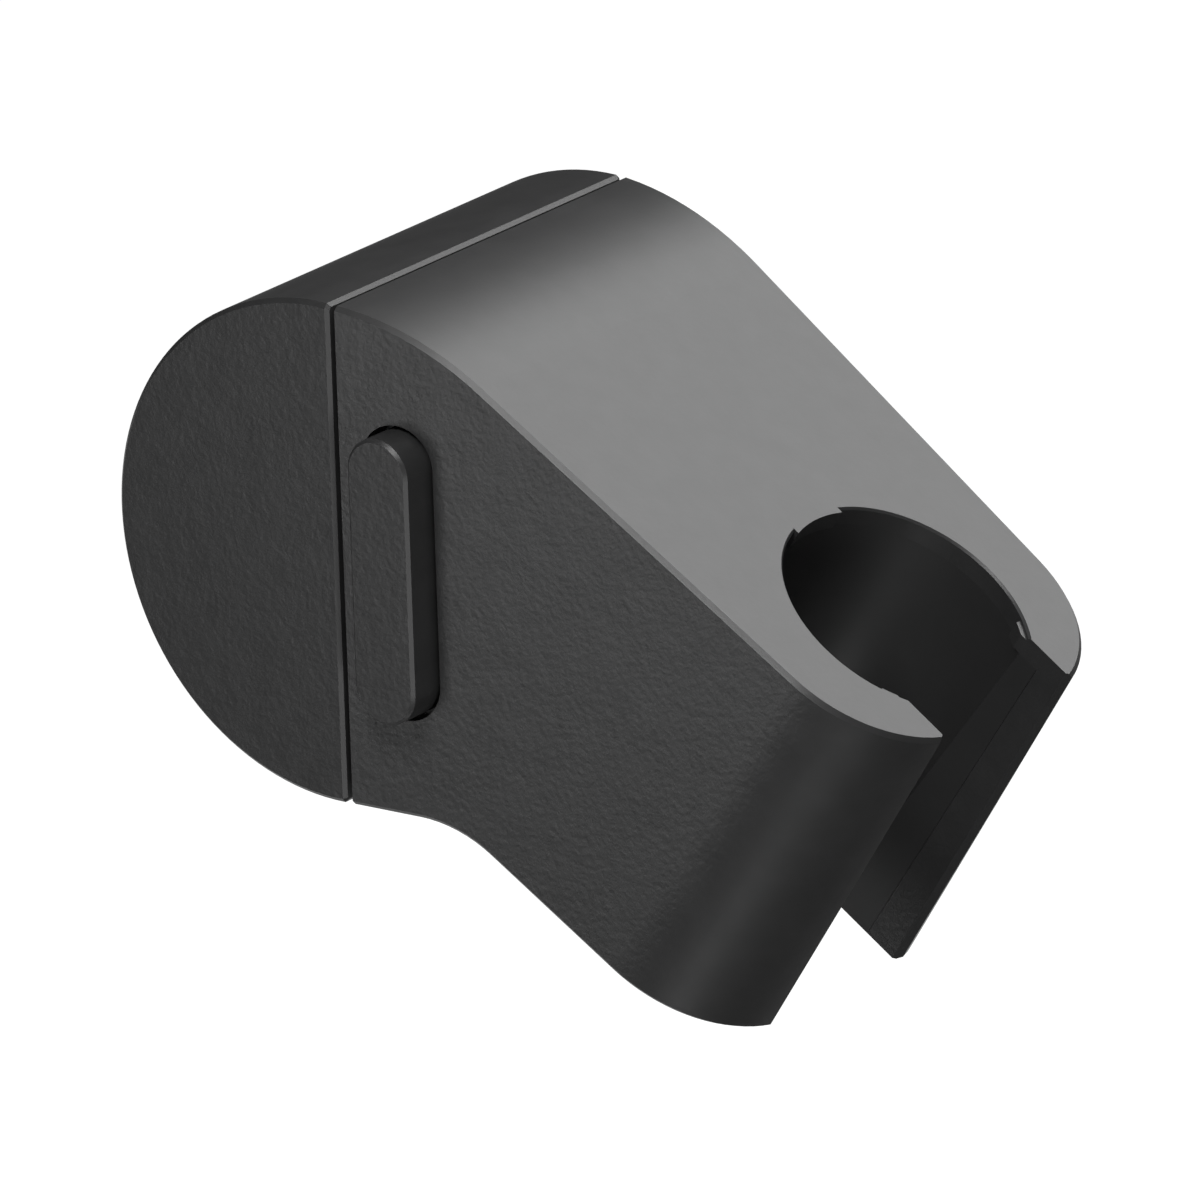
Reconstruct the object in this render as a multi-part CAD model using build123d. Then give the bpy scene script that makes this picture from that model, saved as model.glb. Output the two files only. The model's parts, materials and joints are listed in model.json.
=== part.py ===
from build123d import *
import os
from math import atan, cos, radians, sin, sqrt, tan

# A shower rail slider with a forked cone holder, in mm.
# X is the width, -Y is the front and +Z is up along the rail.
# The origin is the centre of the rail channel at mid height.

# Outer form.
rear_radius = 23.0
body_width = 42.5
rear_wall = 2.75
shell_wall = 2.6
side_taper = 3.6
slope_angle = 34.0
slope_rise = 1.05
holder_height = 36.0
parting_offset = 1.5
parting_gap = 0.75
parting_chamfer = 0.32
underside_share = 0.372
edge_bevel = 0.4

# The rail that the slider runs on, and the glides that line its channel.
rail_width = 20.0
rail_thickness = 6.0
rail_clearance = 0.25
glide_thickness = 1.2
glide_width = 16.0
glide_peg_radius = 1.3
glide_peg_length = 1.3
glide_gap = 0.6
channel_wall = 2.0

# The cone seat, its liner and its mouth.
cone_reach = 40.35
cone_radius = 11.85
cone_taper = 2.4
mouth_half = 9.1
jaw_reach = 13.3
front_lean = 0.8
front_flat = 5.2
tip_bevel = 0.7
lip_height = 2.0
rim_bevel = 0.2
liner_wall = 1.5
liner_clearance = 0.03
rim_tab_width = 6.4
rim_tab_reach = 0.4
nub_length = 2.0
nub_reach = 0.5
nub_depth = 0.4

# The release button and its slide.
button_ahead = 7.85
button_drop = 0.5
button_length = 26.2
button_width = 6.5
button_proud = 3.0
button_travel = 2.5
button_bevel = 0.3
flange_thickness = 1.2
flange_step = 0.7
seat_wall = 2.0
slide_height = 8.0
spigot_radius = 3.2
guide_length = 7.4
guide_wall = 1.5
socket_depth = 3.3
socket_width = 4.0

# The brake that the button draws off the rail.
cam_ratio = 0.6
cam_wall = 2.0
pin_radius = 1.5
shoe_width = 10.0
ear_nose = 3.2
pad_thickness = 2.0
pad_inset = 0.3
shoulder_thickness = 1.6
shoulder_step = 2.0
tunnel_wall = 1.6

# Springs.
brake_spring_radius = 1.9
button_spring_radius = 1.5
spring_wire = 0.6
spring_turns = 3
spring_facets = 12
peg_radius = 1.1
peg_share = 0.2
post_wall = 0.9
post_length = 2.2
rib_thickness = 1.6

# The screws and the tongue that hold the two halves together.
screw_radius = 1.5
screw_head_radius = 2.3
screw_head_height = 2.0
screw_length = 17.0
screw_from_side = 5.4
screw_from_top = 5.6
screw_seat_behind = 6.0
boss_wall = 1.1
tongue_inset = 1.4
tongue_thickness = 1.1
tongue_length = 1.6

# Clearances between pieces.
working_clearance = 0.3
window_clearance = 0.45
guide_clearance = 0.2
fit_clearance = 0.03

# How far cuts run past a surface, and when two places or two directions count as one.
overcut = 1.0
touch = 0.01
flat_angle = 12.0
parallel_ratio = 0.99

# Sizes that follow from the ones above.
half_width = body_width / 2
channel_width = rail_width + 2 * (rail_clearance + glide_thickness)
channel_depth = rail_thickness + 2 * (rail_clearance + glide_thickness)
rail_offset = rear_radius - rear_wall - channel_depth / 2
slope_offset = rear_radius + slope_rise
front_reach = cone_reach + jaw_reach
front_plane = parting_offset + parting_gap / 2
rear_plane = parting_offset - parting_gap / 2
shoe_travel = button_travel * cam_ratio
socket_radius = cone_radius + liner_wall
web_reach = cone_reach - socket_radius - shell_wall
long_way = 4 * rear_radius

slope = radians(slope_angle)
crown = sqrt(rear_radius ** 2 - parting_offset ** 2)
crown_angle = atan(parting_offset / crown)
top_turn = slope - crown_angle
top_radius = (slope_offset - rear_radius * cos(top_turn)) / (1 - cos(top_turn))
underside_corner = (slope_offset - holder_height + crown * cos(slope)) / sin(slope)
underside_radius = underside_share * (underside_corner - front_plane) / tan(slope / 2)


def ahead(f):
    """World Y of a distance f in front of the centre of the rear curve."""
    return -(f + rail_offset)


def half_at(f):
    """Half the width of the front body at a distance in front of that centre."""
    return half_width - (f - parting_offset) * tan(radians(side_taper))


def on_slope(s, t):
    """World Y and Z of a point s down the sloped face and t out from the centre."""
    return (ahead(s * cos(slope) + t * sin(slope)), t * cos(slope) - s * sin(slope))


def web_at(z):
    """How far ahead the web behind the cone seat stands at a height z."""
    return (web_reach + z * sin(slope)) / cos(slope)


def block(x, y, z):
    """A box between three pairs of limits."""
    centre = ((x[0] + x[1]) / 2, (y[0] + y[1]) / 2, (z[0] + z[1]) / 2)
    return Pos(*centre) * Box(abs(x[1] - x[0]), abs(y[1] - y[0]), abs(z[1] - z[0]))


def pillar(x, y, z, half):
    """A square bar along Y on the axis of a screw."""
    return block((x - half, x + half), y, (z - half, z + half))


def rod(start, end, radius):
    """A round bar between two points."""
    way = Vector(*end) - Vector(*start)
    return extrude(Plane(origin=start, z_dir=way) * Circle(radius), way.length)


def oblong(x, length, width):
    """A round-ended bar along X at the button's place, its section upright."""
    foot = (x[0], button_y, button_z)
    section = Plane(origin=foot, x_dir=(0, 0, 1), z_dir=(1, 0, 0))
    return extrude(section * SlotOverall(length, width), x[1] - x[0])


def x_rod(start, end, radius):
    """A round bar along X on the button's axis."""
    return rod((start, button_y, button_z), (end, button_y, button_z), radius)


def across(face, half):
    """A side view drawn in Y and Z, made solid over the width."""
    return extrude(face, half, both=True)


def flat(*points):
    """A flat face with straight edges."""
    return Face(Wire.make_polygon(points, close=True))


def coil(start, end, radius):
    """A compression spring of square wire with ground ends, its turns in flat facets."""
    way = Vector(*end) - Vector(*start)
    pitch = way.length / spring_turns
    path = Helix(pitch, way.length + pitch, radius, center=(0, 0, -pitch / 2))
    runs = spring_facets * (spring_turns + 1)
    half = spring_wire / 2
    corners = ((-half, -half), (half, -half), (half, half), (-half, half))
    rings = []
    for i in range(runs + 1):
        point = path @ (i / runs)
        place = Plane(origin=point, x_dir=(point.X, point.Y, 0), z_dir=path % (i / runs))
        rings.append([place.from_local_coords((*corner, 0)) for corner in corners])
    faces = [flat(*rings[0]), flat(*rings[-1])]
    for near, far in zip(rings, rings[1:]):
        for k in range(len(corners)):
            faces.append(flat(near[k - 1], near[k], far[k]))
            faces.append(flat(near[k - 1], far[k], far[k - 1]))
    room = Pos(0, 0, way.length / 2) * Box(6 * radius, 6 * radius, way.length)
    return Plane(origin=start, z_dir=way) * (Solid(Shell(faces)) & room)


def behind(s):
    """All that is behind a plane square to the sloped face, a distance s down it."""
    plane = Plane(origin=(0, *on_slope(s, 0)), x_dir=(1, 0, 0), z_dir=(0, cos(slope), sin(slope)))
    return extrude(plane * Rectangle(2 * long_way, 2 * long_way), 2 * long_way)


def side_view(inset, back):
    """The front body seen from the side, inset from its outer surface."""
    hub_distance = rear_radius - top_radius
    hub = (hub_distance * sin(crown_angle), hub_distance * cos(crown_angle))
    radius = top_radius - inset
    rise = sqrt(radius ** 2 - (back - hub[0]) ** 2) + hub[1]
    middle = (crown_angle + slope) / 2
    arc_middle = (hub[0] + radius * sin(middle), hub[1] + radius * cos(middle))
    arc_end = (hub[0] + radius * sin(slope), hub[1] + radius * cos(slope))

    # The level underside meets the slanted one in a hollow curve.
    low = inset - crown
    low_offset = slope_offset - holder_height + inset
    bend = underside_radius + inset
    corner = (low_offset - low * cos(slope)) / sin(slope)
    run = bend * tan(slope / 2)
    bend_start = (corner - run, low)
    bend_middle = (corner - run + bend * sin(slope / 2), low - bend + bend * cos(slope / 2))
    bend_end = (corner + run * cos(slope), low - run * sin(slope))

    def at(point):
        return (0, ahead(point[0]), point[1])

    lean = (holder_height - 2 * inset) * tan(radians(front_lean))
    tip_top = (0, *on_slope(front_reach, slope_offset - inset))
    tip_low = (0, *on_slope(front_reach + lean, low_offset))
    lines = [
        ThreePointArc(at((back, rise)), at(arc_middle), at(arc_end)),
        Polyline(at(arc_end), tip_top, tip_low, at(bend_end)),
        ThreePointArc(at(bend_end), at(bend_middle), at(bend_start)),
        Polyline(at(bend_start), at((back, low)), at((back, rise))),
    ]
    return make_face(lines)


def outside_sides(inset):
    """The two slabs beyond the tapered sides of the front body."""
    slab = Pos(long_way / 2, 0, 0) * Box(long_way, 3 * long_way, 3 * long_way)
    place = Pos(half_width - inset, ahead(parting_offset), 0) * Rot(0, 0, -side_taper)
    right = place * slab
    return right + mirror(right, Plane.YZ)


def sharp(solid, keep):
    """Edges that pass a test and where two faces meet at an angle."""
    found = ShapeList()
    for edge in solid.edges():
        if not keep(edge):
            continue
        faces = [f for f in solid.faces() if any(e.is_same(edge) for e in f.edges())]
        if len(faces) != 2:
            continue
        middle = edge @ 0.5
        if faces[0].normal_at(middle).get_angle(faces[1].normal_at(middle)) > flat_angle:
            found.append(edge)
    return found


def all_points(edge, test):
    """Whether the ends and the middle of an edge all pass a test."""
    return all(test(edge @ u) for u in (0, 0.5, 1))


# Places of the mechanism.
button_y = ahead(button_ahead)
button_z = -button_drop
flange_width = button_width + 2 * (window_clearance + flange_step)
flange_length = button_length + 2 * (window_clearance + flange_step)
flange_seat = half_at(button_ahead + flange_width / 2) - seat_wall
flange_back = flange_seat - flange_thickness
button_face = half_at(button_ahead) + button_proud
slide_depth = shoe_travel + 2 * (pin_radius + working_clearance + cam_wall)
slide_low = button_z - slide_height / 2
slide_high = button_z + slide_height / 2
guide_floor = half_at(button_ahead) - shell_wall - flange_step
guide_start = guide_floor - guide_length
slide_end = guide_start - button_travel - working_clearance
spigot_end = guide_floor - button_travel - flange_thickness
spring_floor = slide_end + spring_wire
pin_y = button_y + shoe_travel / 2
ear_gap = slide_height / 2 + working_clearance
ear_thickness = 2 * brake_spring_radius + spring_wire
ear_out = ear_gap + ear_thickness
ear_mid = ear_gap + ear_thickness / 2
ear_front = pin_y - ear_nose
post_foot = web_at(button_z - ear_mid - brake_spring_radius - post_wall)
post_end = ahead(post_foot - post_length)
peg_length = peg_share * (ear_front - post_end)
shoe_front = button_y + slide_depth / 2 + shoe_travel + working_clearance
tunnel_front = shoe_front + shoulder_thickness
pad_face = -rail_thickness / 2
shoe_back = pad_face - pad_thickness
channel_front = -channel_depth / 2
inner_wall = channel_front - channel_wall
screw_x = half_width - screw_from_side
screw_z = rear_radius - screw_from_top
screw_places = [(x, z) for x in (-screw_x, screw_x) for z in (-screw_z, screw_z)]
parts = {}

# Front body: the outer form with its forked holder.
axis = Vector(0, -sin(slope), cos(slope))
outer = across(side_view(0, front_plane), half_width) - outside_sides(0)
front_corner = half_at(front_reach * cos(slope) + slope_offset * sin(slope)) - front_flat
front_corners = [e for e in outer.edges() if abs((e % 0.5).dot(axis)) > parallel_ratio]
outer = fillet(ShapeList(front_corners), front_corner)


def at_parting(edge):
    return all_points(edge, lambda p: abs(p.Y - ahead(front_plane)) < touch)


def beside_mouth(edge):
    """Whether an edge runs down a wall of the mouth."""
    return abs(abs((edge @ 0.5).X) - mouth_half) < touch and abs((edge % 0.5).dot(axis)) > parallel_ratio


def down_slope(edge):
    """How far down the sloped face the middle of an edge is."""
    middle = edge @ 0.5
    return (-middle.Y - rail_offset) * cos(slope) - middle.Z * sin(slope)


outer = chamfer(sharp(outer, lambda e: not at_parting(e)), edge_bevel)

seat_top = Vector(0, *on_slope(cone_reach, slope_offset))
seat_plane = Plane(origin=seat_top, x_dir=(1, 0, 0), z_dir=axis)
mouth_shape = Pos(0, -long_way / 2) * Rectangle(2 * mouth_half, long_way)
outer -= extrude(seat_plane * (Circle(cone_radius) + mouth_shape), 2 * holder_height, both=True)
tip_edges = outer.edges().filter_by(beside_mouth).sort_by(down_slope)[-2:]
outer = chamfer(tip_edges, tip_bevel)
outer -= seat_plane.offset(-rim_bevel / 2) * Cone(cone_radius, cone_radius + rim_bevel, rim_bevel)
outer -= extrude(seat_plane.offset(-lip_height) * Circle(socket_radius), -2 * holder_height)

# A tab at the back of the rim and a small ledge at each inner corner of the mouth.
tab_ring = Circle(cone_radius + rim_tab_reach) - Circle(cone_radius - rim_tab_reach)
tab_shape = tab_ring & (Pos(0, cone_radius) * Rectangle(rim_tab_width, cone_radius))
outer += extrude(seat_plane * tab_shape, -lip_height)
ledge_ring = Circle(cone_radius + nub_reach) - Circle(cone_radius - nub_reach)
corner_y = sqrt(cone_radius ** 2 - mouth_half ** 2)
for side in (-1, 1):
    ledge_place = Pos(side * (mouth_half + cone_radius / 2), nub_length / 2 - corner_y)
    ledge_shape = ledge_ring & (ledge_place * Rectangle(cone_radius, nub_length))
    outer += extrude(seat_plane.offset(-nub_depth) * ledge_shape, nub_depth - lip_height)

# Front body: the hollow inside, then what stands in it.
hollow = across(side_view(shell_wall, front_plane - overcut), half_width) & behind(web_reach)
hollow -= outside_sides(shell_wall)
front_body = outer - hollow
core = across(side_view(shell_wall / 2, rear_plane), half_width) & behind(web_reach + shell_wall / 2)
core -= outside_sides(shell_wall / 2)
boss_half = screw_radius + boss_wall
screw_tip = screw_length - screw_seat_behind
for x, z in screw_places:
    boss = pillar(x, (ahead(rear_plane), ahead(screw_tip + boss_half)), z, boss_half)
    front_body += boss & core
for side in (-1, 1):
    z = button_z + side * ear_mid
    post_y = (post_end, post_end - long_way)
    post = rod((0, post_y[0], z), (0, post_y[1], z), brake_spring_radius + post_wall)
    post += block((-rib_thickness / 2, rib_thickness / 2), post_y, (z, z + side * long_way))
    front_body += post & core
    front_body += rod((0, post_end, z), (0, post_end + peg_length, z), peg_radius)
guide_radius = spigot_radius + working_clearance
front_body += x_rod(guide_start, guide_floor + overcut, guide_radius + guide_wall)
front_body -= x_rod(guide_start - overcut, guide_floor, guide_radius)

# Front body: the rebate for the tongue, the button's window and the pilot holes.
tongue_x = half_width - tongue_inset
tongue_z = crown - tongue_inset
tongue_end = rear_plane + tongue_length
rebate_x = tongue_x + guide_clearance
rebate_z = tongue_z + guide_clearance
rebate = block((-rebate_x, rebate_x), (ahead(front_plane - overcut), ahead(tongue_end + guide_clearance)),
               (-rebate_z, rebate_z))
inside_x = tongue_x - tongue_thickness - guide_clearance
inside_z = tongue_z - tongue_thickness - guide_clearance
inside_y = (ahead(0), ahead(2 * front_plane + tongue_length))
rebate -= block((-inside_x, inside_x), inside_y, (-inside_z, inside_z))
front_body -= rebate
window = oblong((-2 * half_width, -flange_seat), button_length + 2 * window_clearance,
                button_width + 2 * window_clearance)
pocket = oblong((-flange_seat, -flange_back + button_travel), flange_length + 2 * working_clearance,
                flange_width + 2 * working_clearance)
front_body -= window
front_body -= pocket
for x, z in screw_places:
    front_body -= rod((x, ahead(0), z), (x, ahead(screw_tip + boss_wall), z), screw_radius + fit_clearance)
parts["front_body"] = front_body

# Rear shell: a half round case with the rail channel through it.
def at_rear_plane(point):
    return abs(point.Y - ahead(rear_plane)) < touch


rear_end = block((-half_width, half_width), (ahead(rear_plane), long_way), (-long_way, long_way))
rear_outer = rod((-half_width, ahead(0), 0), (half_width, ahead(0), 0), rear_radius) & rear_end
rear_outer = chamfer([e for e in rear_outer.edges() if e.geom_type == GeomType.CIRCLE], edge_bevel)
rear_face = [e for e in rear_outer.edges() if all_points(e, at_rear_plane)]
rear_outer = chamfer(ShapeList(rear_face), parting_chamfer)
inner_x = half_width - shell_wall
rear_hollow = rod((-inner_x, ahead(0), 0), (inner_x, ahead(0), 0), rear_radius - shell_wall)
rear_hollow &= block((-inner_x, inner_x), (ahead(rear_plane + overcut), long_way), (-long_way, long_way))
chimney_x = channel_width / 2 + channel_wall
rear_hollow -= block((-chimney_x, chimney_x), (inner_wall, long_way), (-long_way, long_way))
rear_shell = rear_outer - rear_hollow
head_room = screw_head_radius + guide_clearance
core_x = half_width - shell_wall / 2
rear_core = rod((-core_x, ahead(0), 0), (core_x, ahead(0), 0), rear_radius - shell_wall / 2)
for x, z in screw_places:
    column = pillar(x, (ahead(rear_plane), long_way), z, head_room + boss_wall)
    rear_shell += column & rear_core
hole_x = shoe_width / 2 + guide_clearance
hole_z = ear_out + guide_clearance
tunnel_z = (button_z - hole_z - tunnel_wall, button_z + hole_z + tunnel_wall)
rear_shell += block((-hole_x - tunnel_wall, hole_x + tunnel_wall), (inner_wall, tunnel_front), tunnel_z)
rear_shell += block((-tongue_x, tongue_x), (ahead(0), ahead(tongue_end)), (-tongue_z, tongue_z)) - block(
    (-tongue_x + tongue_thickness, tongue_x - tongue_thickness), (ahead(-overcut), ahead(tongue_end + overcut)),
    (-tongue_z + tongue_thickness, tongue_z - tongue_thickness))
rear_shell -= block((-channel_width / 2, channel_width / 2), (-channel_depth / 2, channel_depth / 2),
                    (-long_way, long_way))
rear_shell -= block((-hole_x, hole_x), (0, tunnel_front - overcut), (button_z - hole_z, button_z + hole_z))
for x, z in screw_places:
    rear_shell -= rod((x, ahead(-screw_seat_behind), z), (x, long_way, z), head_room)
    rear_shell -= rod((x, 0, z), (x, ahead(rear_plane + overcut), z), screw_radius + fit_clearance)

# Glides on the walls of the channel, each with a peg in the wall behind it.
glide_face = rail_thickness / 2 + rail_clearance
glide_side = rail_width / 2 + rail_clearance
front_low = button_z - hole_z - glide_gap
front_high = button_z + hole_z + glide_gap
mouth_z = sqrt(rear_radius ** 2 - (rail_offset - channel_depth / 2) ** 2)
rear_z = sqrt(rear_radius ** 2 - (rear_radius - rear_wall) ** 2)
glide_end = mouth_z - shell_wall
rear_glide_end = rear_z - 3 * glide_gap


def glide(x, y, z, peg_start, peg_end):
    """A flat strip with a round peg at its middle."""
    strip = block(x, y, z)
    return strip + rod(peg_start, peg_end, glide_peg_radius)


peg_front = channel_front - glide_peg_length
peg_rear = -peg_front
peg_side = channel_width / 2 + glide_peg_length
upper_mid = (front_high + glide_end) / 2
lower_mid = (front_low - glide_end) / 2
wide = (-glide_width / 2, glide_width / 2)
front_y = (channel_front, -glide_face)
deep = (-rail_thickness / 3, rail_thickness / 3)
tall = (-rear_glide_end, rear_glide_end)
strips = {
    "front_glide_upper": (wide, front_y, (front_high, glide_end),
                          (0, -glide_face, upper_mid), (0, peg_front, upper_mid)),
    "front_glide_lower": (wide, front_y, (-glide_end, front_low),
                          (0, -glide_face, lower_mid), (0, peg_front, lower_mid)),
    "rear_glide": (wide, (glide_face, -channel_front), tall, (0, glide_face, 0), (0, peg_rear, 0)),
    "left_glide": ((-channel_width / 2, -glide_side), deep, tall, (-glide_side, 0, 0), (-peg_side, 0, 0)),
    "right_glide": ((glide_side, channel_width / 2), deep, tall, (glide_side, 0, 0), (peg_side, 0, 0)),
}
for name, (x, y, z, peg_start, peg_end) in strips.items():
    parts[name] = glide(x, y, z, peg_start, peg_end)
    rear_shell -= rod(peg_start, peg_end, glide_peg_radius + fit_clearance)
parts["rear_shell"] = rear_shell

# Cone liner: a tapered sleeve, open at the mouth.
liner_height = holder_height - lip_height
narrow = cone_radius - liner_height * tan(radians(cone_taper))
liner_plane = seat_plane.offset(-lip_height)
liner = extrude(liner_plane * Circle(socket_radius - liner_clearance), -liner_height)
liner -= liner_plane.offset(-liner_height / 2) * Cone(narrow, cone_radius, liner_height)
liner -= extrude(liner_plane * mouth_shape, -2 * holder_height)
parts["cone_liner"] = liner

# Release button: a round-ended cap with a flange inside the wall.
cap = oblong((-button_face, -flange_seat), button_length, button_width)
cap_edges = [e for e in cap.edges() if all_points(e, lambda p: abs(p.X + button_face) < touch)]
cap = chamfer(ShapeList(cap_edges), button_bevel)
cap += oblong((-flange_seat, -flange_back), flange_length, flange_width)
socket_x = (-flange_back - socket_depth, -flange_back)
socket_y = (button_y - socket_width / 2 - fit_clearance, button_y + socket_width / 2 + fit_clearance)
cap -= block(socket_x, socket_y, (slide_low - fit_clearance, slide_high + fit_clearance))
parts["release_button"] = cap

# Release slide: a bar across the body with a slanted slot for the shoe's pin.
slide_z = (slide_low, slide_high)
bar_y = (button_y - slide_depth / 2, button_y + slide_depth / 2)
tail_y = (button_y - socket_width / 2, button_y + socket_width / 2)
bar = block((-flange_back, slide_end), bar_y, slide_z)
bar += block((-flange_back - socket_depth, -flange_back), tail_y, slide_z)
bar += x_rod(slide_end, spigot_end, spigot_radius)
bar -= x_rod(spring_floor, guide_floor, button_spring_radius + spring_wire)
cam_way = Vector(-button_travel, -shoe_travel, 0)
cam_plane = Plane(origin=(-button_travel / 2, button_y, button_z), x_dir=cam_way, z_dir=(0, 0, 1))
cam_slot = SlotCenterToCenter(cam_way.length, 2 * (pin_radius + working_clearance))
bar -= extrude(cam_plane * cam_slot, slide_height, both=True)
parts["release_slide"] = bar
spring_ends = [(x, button_y, button_z) for x in (spring_floor, guide_floor)]
parts["button_spring"] = coil(*spring_ends, button_spring_radius)

# Brake shoe: a guided block whose two ears hold the pin and the springs.
shoe_x = shoe_width / 2
shoe_z = (button_z - ear_out, button_z + ear_out)
shoe = block((-shoe_x, shoe_x), (shoe_front, shoe_back), shoe_z)
shoe += block((-shoe_x - shoulder_step, shoe_x + shoulder_step), (shoe_front, tunnel_front), shoe_z)
for side in (-1, 1):
    ear_z = (button_z + side * ear_gap, button_z + side * ear_out)
    shoe += block((-shoe_x, shoe_x), (ear_front, shoe_front), ear_z)
    z = button_z + side * ear_mid
    shoe += rod((0, ear_front, z), (0, ear_front - peg_length, z), peg_radius)
    name = "brake_spring_upper" if side > 0 else "brake_spring_lower"
    parts[name] = coil((0, post_end, z), (0, ear_front, z), brake_spring_radius)
shoe -= rod((0, pin_y, -long_way), (0, pin_y, long_way), pin_radius + fit_clearance)
parts["brake_shoe"] = shoe
parts["shoe_pin"] = rod((0, pin_y, shoe_z[0]), (0, pin_y, shoe_z[1]), pin_radius)
pad_x = shoe_x - pad_inset
pad_z = (shoe_z[0] + pad_inset, shoe_z[1] - pad_inset)
parts["brake_pad"] = block((-pad_x, pad_x), (shoe_back, pad_face), pad_z)

# Housing screws from the rear.
screws = []
for x, z in screw_places:
    seat = ahead(-screw_seat_behind)
    top = seat + screw_head_height
    head = rod((x, seat, z), (x, top, z), screw_head_radius)
    screws.append(head + rod((x, seat, z), (x, seat - screw_length, z), screw_radius))
parts["housing_screws"] = Compound(children=screws)

os.makedirs("parts", exist_ok=True)
for name, shape in parts.items():
    export_step(shape, "parts/" + name + ".step")
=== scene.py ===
import json
from math import cos, radians, sin
import bpy
from mathutils import Matrix, Vector

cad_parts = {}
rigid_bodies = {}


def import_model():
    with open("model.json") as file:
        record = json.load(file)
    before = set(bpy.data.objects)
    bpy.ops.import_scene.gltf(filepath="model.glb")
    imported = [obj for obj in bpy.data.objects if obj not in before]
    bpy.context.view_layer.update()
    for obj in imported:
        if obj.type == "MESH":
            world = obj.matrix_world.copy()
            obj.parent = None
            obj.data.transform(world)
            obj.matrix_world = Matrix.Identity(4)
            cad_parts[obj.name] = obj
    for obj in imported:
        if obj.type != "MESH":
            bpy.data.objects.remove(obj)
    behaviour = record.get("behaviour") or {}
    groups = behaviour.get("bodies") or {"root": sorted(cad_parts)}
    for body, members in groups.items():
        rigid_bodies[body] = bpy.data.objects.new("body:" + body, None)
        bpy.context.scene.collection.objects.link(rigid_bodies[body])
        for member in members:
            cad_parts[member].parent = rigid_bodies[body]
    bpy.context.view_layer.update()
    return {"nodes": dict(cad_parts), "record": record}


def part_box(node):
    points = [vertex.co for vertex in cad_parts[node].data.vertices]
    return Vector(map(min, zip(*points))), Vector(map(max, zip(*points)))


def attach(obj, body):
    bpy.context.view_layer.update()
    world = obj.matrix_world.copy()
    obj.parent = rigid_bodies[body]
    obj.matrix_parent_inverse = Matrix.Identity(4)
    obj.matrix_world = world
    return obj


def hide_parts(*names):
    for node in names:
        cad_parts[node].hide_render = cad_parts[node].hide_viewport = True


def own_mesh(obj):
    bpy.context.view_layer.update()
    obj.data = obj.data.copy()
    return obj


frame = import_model()
scene = bpy.context.scene
scene.view_settings.view_transform = "Standard"
mm = 0.001


def new_material(name):
    """A material, its node tree and its principled shader."""
    material = bpy.data.materials.new(name)
    material.use_nodes = True
    tree = material.node_tree
    return material, tree, tree.nodes["Principled BSDF"]


def calculate(tree, operation, *operands):
    """A math node, whose operands are numbers or the outputs of other nodes."""
    node = tree.nodes.new("ShaderNodeMath")
    node.operation = operation
    for socket, operand in zip(node.inputs, operands):
        if isinstance(operand, bpy.types.NodeSocket):
            tree.links.new(operand, socket)
        else:
            socket.default_value = operand
    return node.outputs["Value"]


def noise(tree, place, scale, detail):
    """A noise from 0 to 1, with its scale in spots to the metre."""
    node = tree.nodes.new("ShaderNodeTexNoise")
    node.inputs["Scale"].default_value = scale
    node.inputs["Detail"].default_value = detail
    tree.links.new(place, node.inputs["Vector"])
    return node.outputs["Fac"]


def between_tones(tree, share, dark, light):
    """A colour from dark, at a share of 0, to light, at a share of 1."""
    node = tree.nodes.new("ShaderNodeMix")
    node.data_type = "RGBA"
    node.inputs["A"].default_value = (*dark, 1.0)
    node.inputs["B"].default_value = (*light, 1.0)
    tree.links.new(share, node.inputs["Factor"])
    return node.outputs["Result"]


def change(tree, value, start, end, first, last, curve="SMOOTHSTEP"):
    """A change from first to last while value goes from start to end."""
    node = tree.nodes.new("ShaderNodeMapRange")
    node.interpolation_type = curve
    node.inputs["From Min"].default_value = start
    node.inputs["From Max"].default_value = end
    node.inputs["To Min"].default_value = first
    node.inputs["To Max"].default_value = last
    tree.links.new(value, node.inputs["Value"])
    return node.outputs["Result"]


def grain_material(name, dark, light, roughness, grain_size, height, specular=0.5):
    """A moulded plastic: two close tones in a broad mottle, and a relief of fine grain and mottle.

    The relief is full on faces square to the width and faint on the rest, which are smoother.
    """
    mottle_size = 5.0 * grain_size
    material, tree, shader = new_material(name)
    place = tree.nodes.new("ShaderNodeTexCoord")
    grain = noise(tree, place.outputs["Object"], scale=1.0 / grain_size, detail=2.0)
    mottle = noise(tree, place.outputs["Object"], scale=1.0 / mottle_size, detail=3.0)
    facing = tree.nodes.new("ShaderNodeSeparateXYZ")
    tree.links.new(place.outputs["Normal"], facing.inputs["Vector"])
    sideways = calculate(tree, "ABSOLUTE", facing.outputs["X"])
    strength = change(tree, sideways, start=0.90, end=0.985, first=0.12, last=1.0)
    bump = tree.nodes.new("ShaderNodeBump")
    bump.inputs["Distance"].default_value = height
    tree.links.new(strength, bump.inputs["Strength"])
    tree.links.new(calculate(tree, "ADD", grain, mottle), bump.inputs["Height"])
    tree.links.new(between_tones(tree, mottle, dark, light), shader.inputs["Base Color"])
    tree.links.new(bump.outputs["Normal"], shader.inputs["Normal"])
    shader.inputs["Roughness"].default_value = roughness
    shader.inputs["Specular IOR Level"].default_value = specular
    return material


def steel_material(name):
    """Drawn stainless steel with a faint change of tone and polish."""
    material, tree, shader = new_material(name)
    place = tree.nodes.new("ShaderNodeTexCoord")
    marks = noise(tree, place.outputs["Object"], scale=900.0, detail=2.0)
    polish = change(tree, marks, start=0.0, end=1.0, first=0.25, last=0.42, curve="LINEAR")
    tone = between_tones(tree, marks, dark=(0.50, 0.50, 0.50), light=(0.62, 0.62, 0.62))
    tree.links.new(polish, shader.inputs["Roughness"])
    tree.links.new(tone, shader.inputs["Base Color"])
    shader.inputs["Metallic"].default_value = 1.0
    return material


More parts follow.
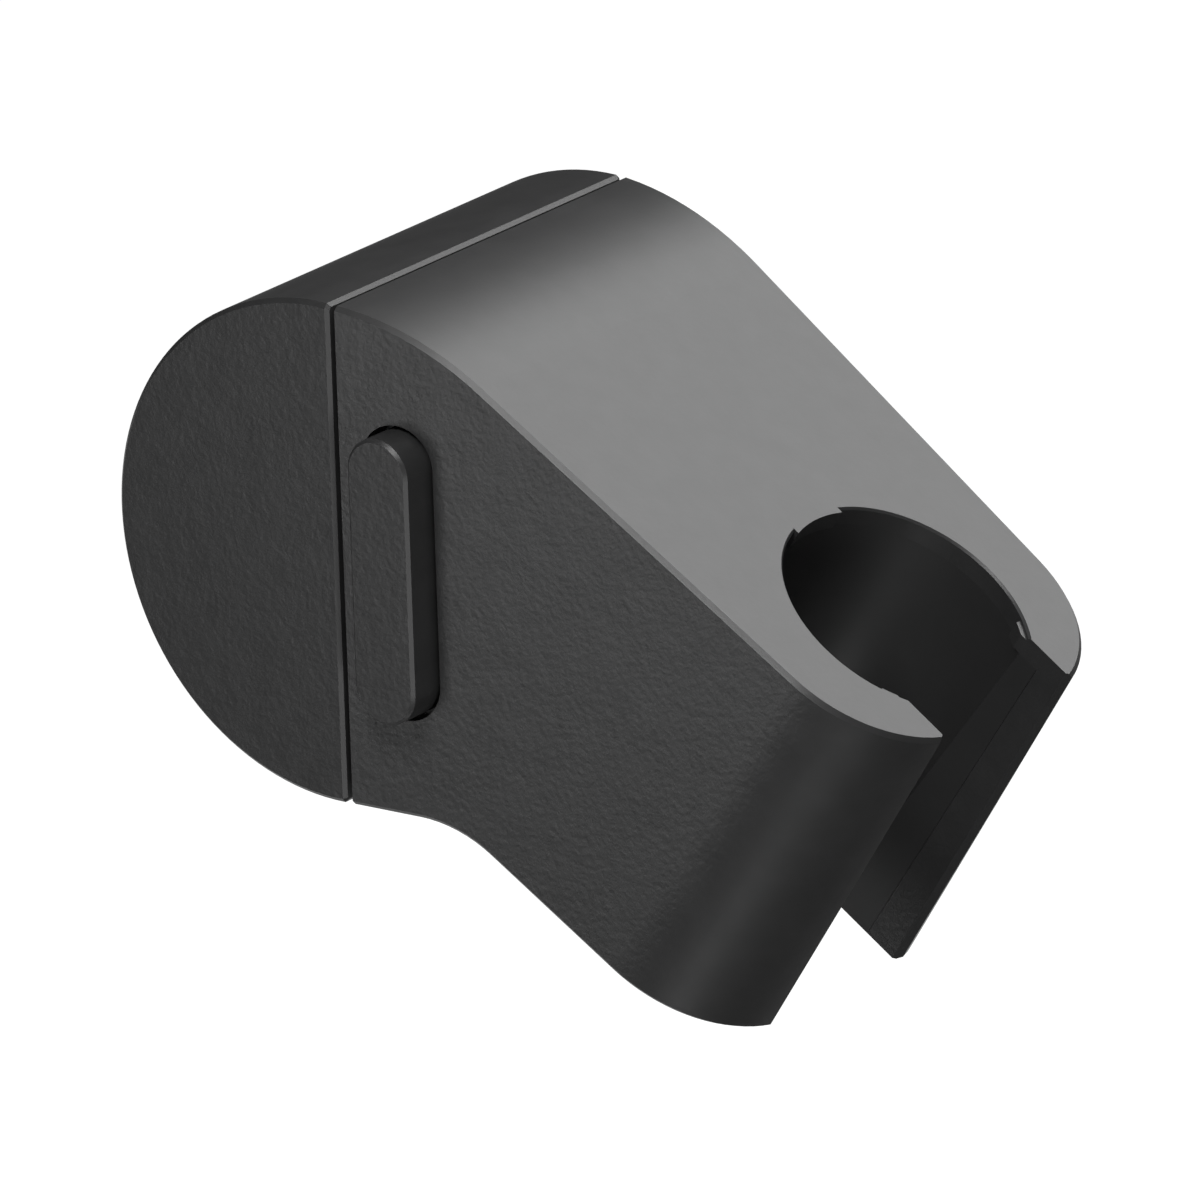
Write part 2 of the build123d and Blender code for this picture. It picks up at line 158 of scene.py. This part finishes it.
# Finishes: one for each material slot of the record.
finishes = {
    "shell_black": grain_material(
        "shell_black",
        dark=(0.022, 0.022, 0.0223),
        light=(0.036, 0.036, 0.0363),
        roughness=0.42,
        grain_size=0.6 * mm,
        height=0.05 * mm,
    ),
    "liner_black": grain_material(
        "liner_black",
        dark=(0.022, 0.022, 0.0222),
        light=(0.028, 0.028, 0.0282),
        roughness=0.42,
        grain_size=1.0 * mm,
        height=0.01 * mm,
    ),
    "acetal_grey": grain_material(
        "acetal_grey",
        dark=(0.34, 0.34, 0.32),
        light=(0.40, 0.40, 0.38),
        roughness=0.42,
        grain_size=1.2 * mm,
        height=0.01 * mm,
    ),
    "pad_rubber": grain_material(
        "pad_rubber",
        dark=(0.020, 0.020, 0.020),
        light=(0.032, 0.032, 0.031),
        roughness=0.75,
        grain_size=0.6 * mm,
        height=0.03 * mm,
        specular=0.3,
    ),
    "steel": steel_material("steel"),
}
slots = {part["node"]: part["material_slot"] for part in frame["record"]["subparts"]}
for name, piece in frame["nodes"].items():
    piece.data.materials.clear()
    piece.data.materials.append(finishes[slots[name]])

# Springs: copies on the joint's parent body, with the packed ones hidden, because a packed spring keeps
# its length; nothing here shortens the copies.
for joint in frame["record"]["behaviour"]["joints"]:
    for rule in joint["deforming_nodes"]:
        name = rule["node"]
        letter = rule["mode"][-1]
        along = "xyz".index(letter)
        low, high = (Vector(corner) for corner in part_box(name))
        anchor = (low + high) / 2.0
        anchor[along] = rule["fixed_end_" + letter + "_m"]
        axis = Vector((0.0, 0.0, 0.0))
        axis[along] = 1.0
        spring = bpy.data.objects.new(name + "_coil", frame["nodes"][name].data.copy())
        scene.collection.objects.link(spring)
        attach(spring, joint["parent"])
        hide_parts(name)
        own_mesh(spring)

# Camera: at the photograph's viewing angle, where an azimuth of 0 is the front.
azimuth = radians(-52.445)
elevation = radians(19.513)
roll = radians(-1.867)
distance = 1.5
target = Vector((-7.466, -35.022, -4.823)) * mm
back = Vector((sin(azimuth) * cos(elevation), -cos(azimuth) * cos(elevation), sin(elevation)))
level = Vector((cos(azimuth), sin(azimuth), 0.0))
right = cos(roll) * level + sin(roll) * back.cross(level)
axes = Matrix((right, back.cross(right), back)).transposed()
camera_data = bpy.data.cameras.new("camera")
camera_data.sensor_fit = "HORIZONTAL"
camera_data.sensor_width = 36.0
camera_data.lens = 517.71
camera = bpy.data.objects.new("camera", camera_data)
camera.matrix_world = Matrix.Translation(target + distance * back) @ axes.to_4x4()
scene.collection.objects.link(camera)
scene.camera = camera

# Background: the same white for the floor and the room, as the camera sees them.
white = 0.94


def mirrored_rays(tree, paths):
    """1 for a ray that was mirrored or refracted, and 0 for any other."""
    return calculate(tree, "MAXIMUM", paths.outputs["Is Glossy Ray"], paths.outputs["Is Transmission Ray"])


def glow(tree, strength):
    """A white light given off by a surface."""
    node = tree.nodes.new("ShaderNodeEmission")
    tree.links.new(strength, node.inputs["Strength"])
    return node.outputs["Emission"]


def floor_material(name):
    """Grey under the lamps, where it keeps the object's shadow, with a white glow to the camera.

    Mirrored or refracted, it is a white pool behind the object that fades to the front.
    """
    grey = 0.25
    pool_centre = (0.56, 0.40, 0.0)
    material, tree, shader = new_material(name)
    shader.inputs["Base Color"].default_value = (grey, grey, grey, 1.0)
    shader.inputs["Roughness"].default_value = 0.9
    paths = tree.nodes.new("ShaderNodeLightPath")
    seen = calculate(tree, "MULTIPLY", paths.outputs["Is Camera Ray"], white)
    lit = tree.nodes.new("ShaderNodeAddShader")
    tree.links.new(shader.outputs["BSDF"], lit.inputs[0])
    tree.links.new(glow(tree, seen), lit.inputs[1])
    place = tree.nodes.new("ShaderNodeTexCoord")
    away = tree.nodes.new("ShaderNodeVectorMath")
    away.operation = "DISTANCE"
    away.inputs[1].default_value = pool_centre
    tree.links.new(place.outputs["Object"], away.inputs[0])
    pool = change(tree, away.outputs["Value"], start=0.42, end=0.75, first=1.0, last=0.1)
    mix = tree.nodes.new("ShaderNodeMixShader")
    tree.links.new(mirrored_rays(tree, paths), mix.inputs["Fac"])
    tree.links.new(lit.outputs["Shader"], mix.inputs[1])
    tree.links.new(glow(tree, pool), mix.inputs[2])
    tree.links.new(mix.outputs["Shader"], tree.nodes["Material Output"].inputs["Surface"])
    return material


def room_world(name):
    """White to the camera, dim in mirrors and nearly dark on the object."""
    dark = 0.01
    mirror_gain = 0.02
    world = bpy.data.worlds.new(name)
    world.use_nodes = True
    tree = world.node_tree
    paths = tree.nodes.new("ShaderNodeLightPath")
    dim = calculate(tree, "MULTIPLY_ADD", mirrored_rays(tree, paths), mirror_gain, dark)
    strength = calculate(tree, "MAXIMUM", paths.outputs["Is Camera Ray"], dim)
    background = tree.nodes["Background"]
    background.inputs["Color"].default_value = (white, white, white, 1.0)
    tree.links.new(strength, background.inputs["Strength"])
    return world


floor_size = 40.0
floor_drop = 0.25
bpy.ops.mesh.primitive_plane_add(size=floor_size, location=(0.0, 0.0, -floor_drop))
floor = bpy.context.object
floor.name = "floor"
floor.data.materials.append(floor_material("floor_white"))
scene.world = room_world("room")

# Light: soft boxes from the right and from above, and weaker ones from the left, the front and below.
middle = Vector((0.0, -32.0, -8.0)) * mm


def soft_box(name, direction, distance, width, height, power):
    """A rectangular lamp in a direction from the object's middle, turned to face it."""
    lamp = bpy.data.lights.new(name, "AREA")
    lamp.shape = "RECTANGLE"
    lamp.size = width
    lamp.size_y = height
    lamp.energy = power
    item = bpy.data.objects.new(name, lamp)
    item.location = middle + Vector(direction).normalized() * distance
    item.rotation_euler = (middle - item.location).to_track_quat("-Z", "Y").to_euler()
    scene.collection.objects.link(item)


soft_box("key", (0.76, -0.12, 0.64), distance=0.9, width=0.6, height=0.6, power=5.5)
soft_box("top", (0.25, 0.05, 0.97), distance=0.9, width=0.4, height=0.4, power=2.0)
soft_box("fill", (-0.60, -0.19, 0.78), distance=0.3, width=0.10, height=0.10, power=0.50)
soft_box("side", (-0.93, 0.30, -0.10), distance=0.3, width=0.12, height=0.12, power=0.17)
soft_box("front", (-0.10, -0.75, 0.65), distance=0.9, width=0.3, height=0.3, power=0.85)
soft_box("low", (-0.58, -0.74, -0.33), distance=0.6, width=0.15, height=0.15, power=0.75)
soft_box("bounce", (-0.48, -0.10, -0.87), distance=0.25, width=0.03, height=0.06, power=0.042)
